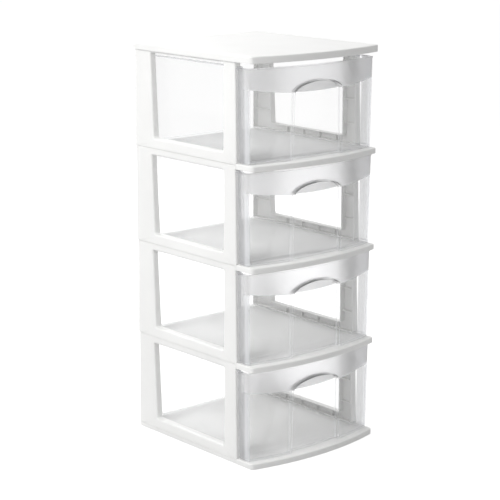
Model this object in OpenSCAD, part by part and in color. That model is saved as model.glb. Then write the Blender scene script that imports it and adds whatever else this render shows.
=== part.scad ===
// Plastic drawer tower: four clear drawers with a bowed front and an arched
// finger recess, in a stack of white moulded side frames, shelves and a top.
// +X is the viewer's right, +Z is up and the drawers open towards -Y.
// The origin is on the floor, at the middle of the tower's width and depth.

/* [Tower] */
// Width over the side frames at their feet
tower_w = 324; // [270:1:420]
// Depth from the middle of the bowed front to the back of the top
tower_d = 374; // [310:1:460]
// Height from one shelf top to the next
tier_pitch = 192; // [150:1:260]
// How far the middle of each front edge bows ahead of its corners
bow_rise = 22.5; // [8:0.5:36]
// Depth of the nose, from the corners of the bow back to the front posts
nose_d = 44; // [34:0.5:70]

/* [Base, shelves and top] */
// Height of the base, from the floor to the bottom drawer
base_h = 11.5; // [9:0.5:20]
// Height of a shelf's front lip
lip_h = 11; // [8:0.5:18]
// Height of the top's edge
top_h = 13.5; // [9:0.5:20]
// Extra room over the top drawer
top_rise = 8.5; // [3:0.5:20]
// Thickness of the flat plates
plate_t = 3; // [2:0.1:4]
// Thickness of the lips and skirts
skirt_t = 3; // [2.6:0.1:4]
// How far the top stands out past the side frames on each side
top_overhang = 2; // [1:0.5:6]
// How far the top stands out past the side frames at the back
top_back_overhang = 1; // [0.5:0.5:6]
// Radius of the front corners, seen from above
nose_r = 9; // [6:0.5:14]
// Radius of the back corners, seen from above
back_r = 5; // [4:0.5:10]
// Radius of the top edge of every lip
edge_r = 2.4; // [1:0.1:2.8]
// Thickness of the ribs under the plates
rib_t = 1.8; // [1.2:0.1:3]
// How far the ribs hang below the plates
rib_h = 5; // [3:0.5:7]
// Distance of the lengthwise ribs from the middle
rib_x = 60; // [40:1:80]
// Spacing of the crosswise ribs
rib_pitch = 88; // [60:1:110]

/* [Side frames] */
// Depth of the side frames' edges, inwards from the outer face
frame_t = 15; // [13:0.5:22]
// Thickness of the side frames' walls
skin_t = 2.5; // [1.8:0.1:3]
// Width of the front post at its foot
front_post_w = 38; // [28:0.5:60]
// Width of the back post at its foot
back_post_w = 58; // [40:0.5:80]
// Height of the low rail over the shelf
low_rail_h = 17; // [10:0.5:30]
// Height of the high rail under the frame's head
high_rail_h = 14.5; // [10:0.5:30]
// Radius of the window's corners
window_r = 4; // [2:0.5:12]
// How far the window's back edge leans back towards its top
window_lean = 9; // [0:0.5:14]
// Spacing of the webs inside the posts and rails
web_pitch = 48; // [30:1:80]
// How far the webs are set back from the frame's inner face
web_setback = 5; // [0:0.5:9]
// How much a frame narrows to its head, on its outer face
side_draft = 1.5; // [0:0.1:3]
// How much a frame narrows to its head, at the front
front_draft = 4.5; // [0:0.5:8]
// How much a frame narrows to its head, at the back
back_draft = 2.5; // [0:0.5:6]

/* [Pegs] */
// Diameter of the pegs that hold the stack together
peg_d = 8; // [5:0.5:9]
// How far a peg reaches below the wall that it is pushed through
peg_reach = 3; // [1:0.5:5]
// Gap round every fixed fit
fit_gap = 0.3; // [0.2:0.05:0.5]

/* [Drawers] */
// Gap between a drawer's rim and the lip over it
head_gap = 3.2; // [1:0.1:20]
// Thickness of a drawer's walls
wall_t = 2.2; // [1.6:0.1:3]
// Gap between a drawer and the shelf that it slides on
slide_gap = 0.3; // [0.2:0.05:1]
// Gap on each side between a drawer's rim and the side frames
side_gap = 1.3; // [0.4:0.1:6]
// How much a drawer's box narrows on each side to its bottom
box_draft = 4; // [0:0.5:8]
// How much a drawer's nose narrows on each side to its bottom
nose_draft = 2; // [0:0.5:8]
// How far a drawer's front and back lean in to its bottom
lean_draft = 2.5; // [0:0.5:6]
// How far a drawer's rim is set in from the lip's ends
nose_inset = 0.5; // [0:0.5:6]
// How far a drawer's front is set back from the lip
front_setback = 11; // [2:0.5:16]
// Gap between a closed drawer's rim and the front posts
stop_gap = 0.4; // [0.3:0.1:4]
// Distance from a drawer's back to the back of the side frames
back_room = 7; // [4:0.5:30]
// How far the rim stands out from a drawer's walls
rim_out = 1.2; // [0.5:0.1:1.8]
// Height of the rim
rim_h = 3; // [2:0.5:6]
// Radius of the back corners of a drawer's box
box_r = 8; // [4:0.5:16]

/* [Finger recess] */
// Width of the recess where its arch springs
recess_w = 122; // [70:1:170]
// How much wider the recess is on each side at the drawer's bottom
recess_flare = 2; // [0:0.5:12]
// Depth of the recess
recess_d = 10; // [6:0.5:18]
// How much the recess narrows on each side to its back
recess_draft = 1.5; // [0.5:0.5:4]
// Height of the plain front over the arch
recess_top = 32.5; // [10:0.5:50]
// Height of the arch over where it springs
recess_rise = 22; // [10:0.5:40]

/* [Hidden] */
TIERS = 4;
FRAME_WHITE = [0.95, 0.95, 0.94];
CLEAR_PLASTIC = [0.80, 0.84, 0.88, 0.45];
BIG = 1000;   // longer than any cut has to be
SINK = 0.5;   // how far a peg is let into the wall that carries it
wing_r = 4;   // radius of the back corners of a drawer's nose

// A drawer fits under the lip over it, and its arch keeps its distance from
// the rim
drawer_h = tier_pitch - lip_h - slide_gap - head_gap;
recess_spring = drawer_h - recess_top - recess_rise;

// Plan of the tower
front_y = -tower_d / 2;
corner_y = front_y + bow_rise;
back_y = tower_d / 2 - top_back_overhang;
post_y = corner_y + nose_d;
post_head_y = post_y + front_draft;
back_head_y = back_y - back_draft;
inner_x = tower_w / 2 - frame_t;
plate_half_w = tower_w / 2 - skin_t - fit_gap;
base_skirt_t = skin_t + fit_gap + 1;
bow_r = (pow(tower_w / 2, 2) + pow(bow_rise, 2)) / (2 * bow_rise);

// Heights of the tower
top_z = base_h + TIERS * tier_pitch + top_rise;
function level(tier) = base_h + (tier - 1) * tier_pitch;
function foot(tier) = level(tier) - plate_t;
function head(tier) = tier < TIERS ? foot(tier + 1) : top_z - plate_t;

// The pegs stand in the middle of each post, between the frame's inner face
// and its outer skin
peg_x = inner_x + (frame_t - skin_t) / 2;
peg_ys = [post_head_y + (front_post_w - front_draft) / 2, back_head_y - (back_post_w - back_draft) / 2];
peg_r = peg_d / 2;

// A point at radius r round c, with its angle counted from -Y towards +X
function polar(c, r, a) = [c[0] + r * sin(a), c[1] - r * cos(a)];
function arc(c, r, a0, a1, steps) = [for (i = [0:steps]) polar(c, r, a0 + (a1 - a0) * i / steps)];
function mix(a, b, t) = a + (b - a) * t;

// The whole outline from its right half, which runs from the front round to
// the back with its first and last points on the centre line
function mirrored(half) = concat(half, [for (i = [len(half) - 2:-1:1]) [-half[i][0], half[i][1]]]);

// A closed skin over rings of as many points, each [points, height], capped
// at the first and the last ring
module loft(rings) {
    n = len(rings[0][0]);
    points = [for (ring = rings) for (p = ring[0]) [p[0], p[1], ring[1]]];
    sides = [for (k = [0:len(rings) - 2]) for (i = [0:n - 1])
        let (a = k * n + i, b = k * n + (i + 1) % n)
        each [[a, a + n, b], [b, a + n, b + n]]];
    first = [for (i = [0:n - 1]) i];
    last = [for (i = [n - 1:-1:0]) (len(rings) - 1) * n + i];
    polyhedron(points = points, faces = concat([first], sides, [last]), convexity = 8);
}

// Plan outline of a plate with the bowed nose: half_w is its half width, back
// its back edge, and inset draws the whole outline in
function plate_half(half_w, back, inset) =
    let (
        centre = [0, front_y + bow_r],
        corner_x = half_w - nose_r,
        turn = asin(corner_x / (bow_r - nose_r)),
        corner = polar(centre, bow_r - nose_r, turn)
    )
    concat(
        arc(centre, bow_r - inset, 0, turn, 12),
        arc(corner, nose_r - inset, turn + (90 - turn) / 5, 90, 4),
        arc([half_w - back_r, back - back_r], back_r - inset, 90, 180, 4),
        [[0, back - inset]]
    );
function plate_ring(half_w, back, inset) = mirrored(plate_half(half_w, back, inset));

// A block under the plate outline, with its top edge rounded
module plate_block(half_w, back, low, high) {
    round_steps = 4;
    loft(concat(
        [[plate_ring(half_w, back, 0), low]],
        [for (i = [0:round_steps]) let (a = 90 * i / round_steps)
            [plate_ring(half_w, back, edge_r * (1 - cos(a))), high - edge_r * (1 - sin(a))]]
    ));
}

// Ribs under a plate between the side frames, seen from above
module rib_lines() {
    rib_end = inner_x - fit_gap;
    for (x = [-rib_x, rib_x])
        translate([x - rib_t / 2, -BIG / 2])
            square([rib_t, BIG]);
    for (i = [-1:1])
        translate([-rib_end, i * rib_pitch - rib_t / 2])
            square([2 * rib_end, rib_t]);
}

// The hollow under a plate, from height low up to the plate's underside, with
// the ribs left standing in it. Its outline is the child.
module ribbed_hollow(low, under) {
    translate([0, 0, low - 1])
        linear_extrude(under - rib_h - low + 1)
            children();
    translate([0, 0, low])
        linear_extrude(under - low)
            difference() {
                children();
                rib_lines();
            }
}

// Holes in a plate for the pegs of the side frames that stand on it
module peg_holes(low, high) {
    for (x = [-peg_x, peg_x], y = peg_ys)
        translate([x, y, low - 1])
            cylinder(r = peg_r + fit_gap, h = high - low + 2, $fn = 48);
}

// Space for the skins of the side frames beside a plate, above height low
module skin_rebates(low) {
    for (side = [0, 1])
        mirror([side, 0, 0])
            translate([plate_half_w, post_y - fit_gap, low])
                cube([BIG, BIG, BIG]);
}

// The base stands on the floor on its skirt. The skins of the bottom side
// frames stand on the skirt beside the plate.
module base() {
    under = base_h - plate_t;
    color(FRAME_WHITE) difference() {
        plate_block(tower_w / 2, back_y, 0, base_h);
        ribbed_hollow(0, under)
            polygon(plate_ring(tower_w / 2, back_y, base_skirt_t));
        skin_rebates(under);
        peg_holes(under, base_h);
    }
}

// A shelf seats on the heads of the side frames below it. Between them it has
// a skirt all round, and in front of them its nose has the full lip.
module shelf(tier) {
    high = level(tier);
    under = high - plate_t;
    low = high - lip_h;
    seat_x = inner_x - fit_gap;
    seat_y = post_head_y - fit_gap;
    color(FRAME_WHITE) difference() {
        plate_block(tower_w / 2, back_y, low, high);
        ribbed_hollow(low, under) {
            // inside the lip of the nose
            intersection() {
                polygon(plate_ring(tower_w / 2, back_y, skirt_t));
                translate([-BIG / 2, front_y])
                    square([BIG, seat_y - skirt_t - front_y]);
            }
            // between the side skirts
            translate([-seat_x + skirt_t, corner_y])
                square([2 * (seat_x - skirt_t), back_head_y - skirt_t - corner_y]);
        }
        // the seats over the frames' heads
        for (side = [0, 1])
            mirror([side, 0, 0])
                translate([seat_x, seat_y, low - 1])
                    cube([BIG, BIG, lip_h - plate_t + 1]);
        skin_rebates(under);
        peg_holes(under, high);
    }
}

// The top panel is a tray turned over: it seats on the heads of the top side
// frames, and its skirt hides their ends.
module top_panel() {
    under = top_z - plate_t;
    low = top_z - top_h;
    half_w = tower_w / 2 + top_overhang;
    back = back_y + top_back_overhang;
    color(FRAME_WHITE) {
        difference() {
            plate_block(half_w, back, low, top_z);
            ribbed_hollow(low, under)
                polygon(plate_ring(half_w, back, skirt_t));
        }
        for (x = [-peg_x, peg_x], y = peg_ys)
            translate([x, y, under - skin_t - peg_reach])
                cylinder(r = peg_r, h = skin_t + peg_reach + SINK, $fn = 48);
    }
}

// Outline of a side frame seen from its side
function frame_outline(tier) = [
    [post_y, foot(tier)],
    [back_y, foot(tier)],
    [back_head_y, head(tier)],
    [post_head_y, head(tier)]
];

// The channel seen from the side: the outline drawn in by the walls, without
// the window and the walls round it
module frame_channel(tier) {
    difference() {
        polygon([
            [post_y + skin_t, level(tier) + skin_t],
            [back_y - skin_t, level(tier) + skin_t],
            [back_head_y - skin_t, head(tier) - skin_t],
            [post_head_y + skin_t, head(tier) - skin_t]
        ]);
        window_outline(tier, skin_t);
    }
}

// Outline of the window seen from the side, drawn out by outset, with round
// corners and a back edge that leans back towards its top
module window_outline(tier, outset) {
    low = level(tier) + low_rail_h - outset;
    high = head(tier) - high_rail_h + outset;
    front = post_y + front_post_w - outset;
    back_low = back_y - back_post_w + outset;
    r = window_r + outset;
    lean = atan(window_lean / (high - low));
    // the back corners' arcs touch the leaning edge
    low_y = back_low - r * tan(45 - lean / 2);
    high_y = back_low + window_lean - r * tan(45 + lean / 2);
    polygon(concat(
        arc([front + r, low + r], r, 270, 360, 5),
        arc([low_y, low + r], r, 0, 90 - lean, 5),
        arc([high_y, high - r], r, 90 - lean, 180, 5),
        arc([front + r, high - r], r, 180, 270, 5)
    ));
}

// Cross-section of a right-hand side frame, from the inner face out to the
// drafted outer face, with the rebate that its skin leaves over the plate
function frame_section(tier) = [
    [inner_x, level(tier)],
    [tower_w / 2 - skin_t, level(tier)],
    [tower_w / 2 - skin_t, foot(tier)],
    [tower_w / 2, foot(tier)],
    [tower_w / 2 - side_draft, head(tier)],
    [inner_x, head(tier)]
];

// Turns a shape drawn in [y, z] and extruded upwards so that it runs along +X
module along_x(x) { translate([x, 0, 0]) rotate([90, 0, 90]) children(); }

// The webs across the posts and the rails, seen from the side. They stay
// beside and over the window, clear of the pegs in the frame's corners.
module frame_webs(tier) {
    for (z = [level(tier) + low_rail_h + web_pitch / 2:web_pitch:head(tier) - high_rail_h - rib_t])
        translate([post_y, z - rib_t / 2])
            square([back_y - post_y, rib_t]);
    for (y = [post_y + front_post_w + web_pitch / 2:web_pitch:back_y - back_post_w - rib_t])
        translate([y - rib_t / 2, foot(tier)])
            square([rib_t, head(tier) - foot(tier)]);
}

// A right-hand side frame is a channel that is open to the inside, round a
// window, with webs across it
module side_frame(tier) {
    pocket_x = tower_w / 2 - side_draft - skin_t;
    color(FRAME_WHITE) {
        difference() {
            intersection() {
                translate([0, back_y + 1, 0])
                    rotate([90, 0, 0])
                        linear_extrude(back_y - post_y + 2)
                            polygon(frame_section(tier));
                along_x(inner_x - 1)
                    linear_extrude(frame_t + 2)
                        polygon(frame_outline(tier));
            }
            along_x(inner_x - 1)
                linear_extrude(frame_t + 2)
                    window_outline(tier, 0);
            // the channel, in front of the webs and between them
            along_x(inner_x - 1)
                linear_extrude(web_setback + 1)
                    frame_channel(tier);
            along_x(inner_x)
                linear_extrude(pocket_x - inner_x)
                    difference() {
                        frame_channel(tier);
                        frame_webs(tier);
                    }
            // holes in the head for the pegs from above
            for (y = peg_ys)
                translate([peg_x, y, head(tier) - skin_t - 1])
                    cylinder(r = peg_r + fit_gap, h = skin_t + 2, $fn = 48);
        }
        // pegs that pass through the plate below into the next head
        for (y = peg_ys)
            translate([peg_x, y, foot(tier) - skin_t - peg_reach])
                cylinder(r = peg_r, h = plate_t + skin_t + peg_reach + SINK, $fn = 48);
    }
}

module side_frame_right(tier) { side_frame(tier); }
module side_frame_left(tier) { mirror([1, 0, 0]) side_frame(tier); }

// Half outline of a drawer at height z over its bottom, with every wall drawn
// in by inset. The finger recess is cut_w wide to each side and cut_d deep.
function drawer_half(z, inset, cut_w, cut_d) =
    let (
        t = z / drawer_h,
        half_w = tower_w / 2 - nose_inset - rim_out - nose_draft * (1 - t),
        box_w = inner_x - side_gap - rim_out - box_draft * (1 - t),
        front = front_y + front_setback + lean_draft * (1 - t),
        wing = mix(post_y, post_head_y, z / tier_pitch) - stop_gap - rim_out,
        back = back_y - back_room - lean_draft * (1 - t),
        centre = [0, front + bow_r],
        radius = bow_r - inset,
        turn = asin((half_w - nose_r) / (bow_r - nose_r)),
        cut = asin(cut_w / radius),
        cut_in = asin((cut_w - recess_draft) / radius)
    )
    concat(
        arc(centre, radius - cut_d, 0, cut_in, 2),
        arc(centre, radius, cut, turn, 6),
        arc(polar(centre, bow_r - nose_r, turn), nose_r - inset, turn + (90 - turn) / 4, 90, 3),
        arc([half_w - wing_r, wing - wing_r], wing_r - inset, 90, 180, 2),
        [[box_w - inset, wing - inset]],
        arc([box_w - box_r, back - box_r], box_r - inset, 90, 180, 3),
        [[0, back - inset]]
    );

// Half width of the recess at height z over the drawer's bottom: it narrows
// up to the spring of the arch, then follows an ellipse
function recess_half(z, inset) = z <= recess_spring
    ? recess_w / 2 + recess_flare * (1 - z / recess_spring) + inset
    : (recess_w / 2 + inset) * sqrt(1 - pow((z - recess_spring) / (recess_rise + inset), 2));

// One ring of a drawer, through the recess or over it
function drawer_ring(low, z, inset, cut_w, cut_d) =
    [mirrored(drawer_half(z, inset, cut_w, cut_d)), low + z];
function recess_ring(low, z, inset) = drawer_ring(low, z, inset, recess_half(z, inset), recess_d);

module drawer(tier) {
    low = level(tier) + slide_gap;
    arch_angles = [0, 22, 44, 62, 76];
    last_angle = 76;
    closing = 1;
    edge = 1.5;
    lid_w = recess_w / 2 * cos(last_angle);
    lid_z = recess_spring + recess_rise * sin(last_angle) + closing;
    inner_lid_w = (recess_w / 2 + wall_t) * cos(last_angle);
    inner_lid_z = recess_spring + (recess_rise + wall_t) * sin(last_angle) + closing;
    rim_z = drawer_h - rim_h;
    color(CLEAR_PLASTIC) loft(concat(
        // up the outside
        [[mirrored(drawer_half(0, edge, recess_half(0, edge), recess_d)), low]],
        [recess_ring(low, edge, 0)],
        [for (a = arch_angles) recess_ring(low, recess_spring + recess_rise * sin(a), 0)],
        [drawer_ring(low, lid_z, 0, lid_w, 0)],
        // round the rim
        [drawer_ring(low, rim_z, 0, lid_w, 0)],
        [drawer_ring(low, rim_z + 0.5, -rim_out, lid_w, 0)],
        [drawer_ring(low, drawer_h, -rim_out, lid_w, 0)],
        [drawer_ring(low, drawer_h, wall_t, inner_lid_w, 0)],
        // down the inside
        [drawer_ring(low, inner_lid_z, wall_t, inner_lid_w, 0)],
        [for (i = [len(arch_angles) - 1:-1:0])
            recess_ring(low, recess_spring + (recess_rise + wall_t) * sin(arch_angles[i]), wall_t)],
        [recess_ring(low, wall_t, wall_t)]
    ));
}

base();
shelf(2);  // shelf_2
shelf(3);  // shelf_3
shelf(4);  // shelf_4
top_panel();
side_frame_left(1);  // side_frame_left_1
side_frame_left(2);  // side_frame_left_2
side_frame_left(3);  // side_frame_left_3
side_frame_left(4);  // side_frame_left_4
side_frame_right(1);  // side_frame_right_1
side_frame_right(2);  // side_frame_right_2
side_frame_right(3);  // side_frame_right_3
side_frame_right(4);  // side_frame_right_4
drawer(1);  // drawer_1
drawer(2);  // drawer_2
drawer(3);  // drawer_3
drawer(4);  // drawer_4
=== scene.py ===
"""A four-tier drawer tower in white moulded plastic with clear drawers.

Every size is in metres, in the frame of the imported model: +X is the viewer's
right, the drawers open towards -Y, and the floor is at zero height.
"""

import logging
import math
from dataclasses import dataclass, field
from enum import Enum
from typing import Any, Iterable, Sequence

import bpy
import numpy as np
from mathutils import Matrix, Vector


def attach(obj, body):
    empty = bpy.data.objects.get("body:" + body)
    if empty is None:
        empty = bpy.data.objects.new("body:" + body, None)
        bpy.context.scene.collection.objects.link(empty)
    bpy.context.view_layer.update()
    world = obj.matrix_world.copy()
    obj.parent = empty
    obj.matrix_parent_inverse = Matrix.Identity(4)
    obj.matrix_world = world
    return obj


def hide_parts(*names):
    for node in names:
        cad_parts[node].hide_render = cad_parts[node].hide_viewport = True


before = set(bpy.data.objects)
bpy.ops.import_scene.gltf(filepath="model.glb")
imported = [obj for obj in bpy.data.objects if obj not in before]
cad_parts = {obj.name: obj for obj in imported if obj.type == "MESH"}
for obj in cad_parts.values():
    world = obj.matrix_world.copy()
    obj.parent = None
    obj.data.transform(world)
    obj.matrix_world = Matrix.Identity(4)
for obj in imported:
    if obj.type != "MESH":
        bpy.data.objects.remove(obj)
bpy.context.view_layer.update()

LOG = logging.getLogger("drawer_tower")
NOISE_MIDDLE = 0.5
SHARP_ANGLE = 32.0
DRAWER_BODIES = ("bottom_drawer", "lower_drawer", "upper_drawer", "top_drawer")


# ---------------------------------------------------------------- shader maths

class Wire:
    """An output socket of a node, on which Python's operators add Math nodes."""

    def __init__(self, sheet: "NodeSheet", socket: bpy.types.NodeSocket) -> None:
        """Wrap a socket.

        Args:
            sheet: The node sheet that new Math nodes go into.
            socket: The output socket.
        """
        self.sheet = sheet
        self.socket = socket

    def _math(self, operation: str, *values: Any) -> "Wire":
        """Add a Math node whose inputs are the given values or wires."""
        return self.sheet.node("ShaderNodeMath", {"operation": operation}, dict(enumerate(values)))

    def __add__(self, other: Any) -> "Wire":
        """Sum."""
        return self._math("ADD", self, other)

    def __radd__(self, other: Any) -> "Wire":
        """Sum, reflected."""
        return self._math("ADD", other, self)

    def __sub__(self, other: Any) -> "Wire":
        """Difference."""
        return self._math("SUBTRACT", self, other)

    def __rsub__(self, other: Any) -> "Wire":
        """Difference, reflected."""
        return self._math("SUBTRACT", other, self)

    def __mul__(self, other: Any) -> "Wire":
        """Product."""
        return self._math("MULTIPLY", self, other)

    def __rmul__(self, other: Any) -> "Wire":
        """Product, reflected."""
        return self._math("MULTIPLY", other, self)

    def __truediv__(self, other: Any) -> "Wire":
        """Quotient."""
        return self._math("DIVIDE", self, other)

    def __rtruediv__(self, other: Any) -> "Wire":
        """Quotient, reflected."""
        return self._math("DIVIDE", other, self)

    def __pow__(self, other: Any) -> "Wire":
        """Power."""
        return self._math("POWER", self, other)

    def __rpow__(self, other: Any) -> "Wire":
        """Power, reflected."""
        return self._math("POWER", other, self)

    def at_most(self, high: Any) -> "Wire":
        """The smaller of this value and another."""
        return self._math("MINIMUM", self, high)

    def ramp(self, low: float, high: float) -> "Wire":
        """A smooth step from 0 at low to 1 at high.

        Args:
            low: The value at which the step starts.
            high: The value at which it ends.

        Returns:
            The step's value.
        """
        return self.sheet.node(
            "ShaderNodeMapRange", {"interpolation_type": "SMOOTHSTEP"},
            {"Value": self, "From Min": low, "From Max": high},
        )

    def swing(self, reach: float) -> "Wire":
        """A noise value counted from its middle, times a reach."""
        return (self - NOISE_MIDDLE) * reach


class NodeSheet:
    """The nodes of one material or world."""

    def __init__(self, tree: bpy.types.NodeTree) -> None:
        """Empty a node tree and keep it.

        Args:
            tree: The tree to fill.
        """
        tree.nodes.clear()
        self.tree = tree

    def node(
        self, kind: str, settings: dict[str, Any] | None = None,
        inputs: dict[Any, Any] | None = None, output: int | str = 0,
    ) -> Wire:
        """Add a node of any kind.

        Args:
            kind: The node's type, such as ShaderNodeMath.
            settings: Its own settings, set before its inputs.
            inputs: Values or wires of its input sockets, by name or index.
            output: The output that is returned, by name or index.

        Returns:
            The wire from that output.
        """
        return Wire(self, self._add(kind, settings or {}, inputs or {}).outputs[output])

    def _add(self, kind: str, settings: dict[str, Any], inputs: dict[Any, Any]) -> bpy.types.Node:
        """Add a node, set it up and fill its inputs."""
        made = self.tree.nodes.new(kind)
        for name, value in settings.items():
            setattr(made, name, value)
        for name, value in inputs.items():
            if isinstance(value, Wire):
                self.tree.links.new(value.socket, made.inputs[name])
            else:
                made.inputs[name].default_value = value
        return made

    def show(self, surface: Wire, kind: str = "ShaderNodeOutputMaterial") -> None:
        """Join a shader to the tree's output."""
        self._add(kind, {}, {"Surface": surface})

    def blend_shader(self, factor: Any, first: Wire, second: Wire) -> Wire:
        """A shader between two: 0 for the first, 1 for the second."""
        return self.node("ShaderNodeMixShader", inputs={0: factor, 1: first, 2: second})

    def place(self) -> Wire:
        """The point being shaded, in the object's own coordinates."""
        return self.node("ShaderNodeTexCoord", output="Object")

    def split(self, vector: Wire) -> tuple[Wire, Wire, Wire]:
        """The three parts of a vector.

        Args:
            vector: The vector's wire.

        Returns:
            Its x, y and z.
        """
        made = self.tree.nodes.new("ShaderNodeSeparateXYZ")
        self.tree.links.new(vector.socket, made.inputs[0])
        return tuple(Wire(self, made.outputs[i]) for i in range(3))

    def noise(
        self, scale: float, detail: float = 2.0, stretch: Sequence[float] = (1, 1, 1),
    ) -> Wire:
        """Smooth noise over the object.

        Args:
            scale: Waves to the metre.
            detail: How many finer layers are added.
            stretch: Factors on x, y and z before the noise is read.

        Returns:
            The noise, mostly between 0.3 and 0.7.
        """
        moved = self.node(
            "ShaderNodeVectorMath", {"operation": "MULTIPLY"}, {0: self.place(), 1: stretch},
        )
        return self.node(
            "ShaderNodeTexNoise", inputs={"Vector": moved, "Scale": scale, "Detail": detail},
        )

    def blend_colour(
        self, factor: Wire, first: Wire | Sequence[float], second: Wire | Sequence[float],
    ) -> Wire:
        """A colour between two.

        Args:
            factor: 0 for the first colour, 1 for the second.
            first: Red, green and blue, or a wire.
            second: Red, green and blue, or a wire.

        Returns:
            The mixed colour.
        """
        first, second = (end if isinstance(end, Wire) else (*end, 1.0) for end in (first, second))
        return self.node(
            "ShaderNodeMix", {"data_type": "RGBA"}, {0: factor, 6: first, 7: second}, output=2,
        )

    def bump(
        self, height: Wire, distance: float, strength: float, under: Wire | None = None,
    ) -> Wire:
        """A normal from a height.

        Args:
            height: The height, 0 to 1.
            distance: The height's real size in metres.
            strength: How much of it is used.
            under: A normal that it is laid on.

        Returns:
            The bent normal.
        """
        inputs = {"Height": height, "Distance": distance, "Strength": strength}
        if under is not None:
            inputs["Normal"] = under
        return self.node("ShaderNodeBump", inputs=inputs)


# ------------------------------------------------------------------- finishes

class Slot(Enum):
    """The record's material slots."""

    FRAME = "frame_white"
    DRAWER = "drawer_clear"


@dataclass(frozen=True)
class SatinWhite:
    """White moulded polypropylene: faintly clouded, with flow waves and a satin grain."""

    colour: tuple[float, float, float] = (0.89, 0.89, 0.88)
    shade: tuple[float, float, float] = (0.86, 0.86, 0.85)
    roughness: float = 0.36
    refraction: float = 1.49
    cloud_scale: float = 7.0
    cloud_detail: float = 3.0
    cloud_range: tuple[float, float] = (0.3, 0.7)
    grain_scale: float = 1500.0
    grain_height: float = 0.00002
    grain_bump: float = 0.5
    grain_gloss: float = 0.18
    flow_scale: float = 22.0
    flow_stretch: tuple[float, float, float] = (1.0, 1.0, 0.25)
    flow_height: float = 0.0004
    flow_bump: float = 0.25
    flow_gloss: float = 0.12

    def material(self) -> bpy.types.Material:
        """Make the material.

        Returns:
            The material, with clouded colour, uneven gloss and a fine grain.
        """
        made = bpy.data.materials.new("satin_white")
        made.use_nodes = True
        sheet = NodeSheet(made.node_tree)
        cloud = sheet.noise(self.cloud_scale, self.cloud_detail).ramp(*self.cloud_range)
        grain = sheet.noise(self.grain_scale)
        flow = sheet.noise(self.flow_scale, stretch=self.flow_stretch)
        rough = self.roughness + grain.swing(self.grain_gloss) + flow.swing(self.flow_gloss)
        waves = sheet.bump(flow, self.flow_height, self.flow_bump)
        surface = sheet.node("ShaderNodeBsdfPrincipled", inputs={
            "Base Color": sheet.blend_colour(cloud, self.colour, self.shade),
            "Roughness": rough,
            "IOR": self.refraction,
            "Normal": sheet.bump(grain, self.grain_height, self.grain_bump, waves),
        })
        sheet.show(surface)
        return made


@dataclass(frozen=True)
class FrontMasks:
    """Where the parts of a drawer's front lie, each from 0 to 1 over the surface."""

    # corner: a painted highlight; wing and recess: painted shade; bends: a painted line of
    # highlight and shade
    corner: Wire
    wing: Wire
    frost: Wire
    recess: Wire
    bends: Wire
    rims: Wire


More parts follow.
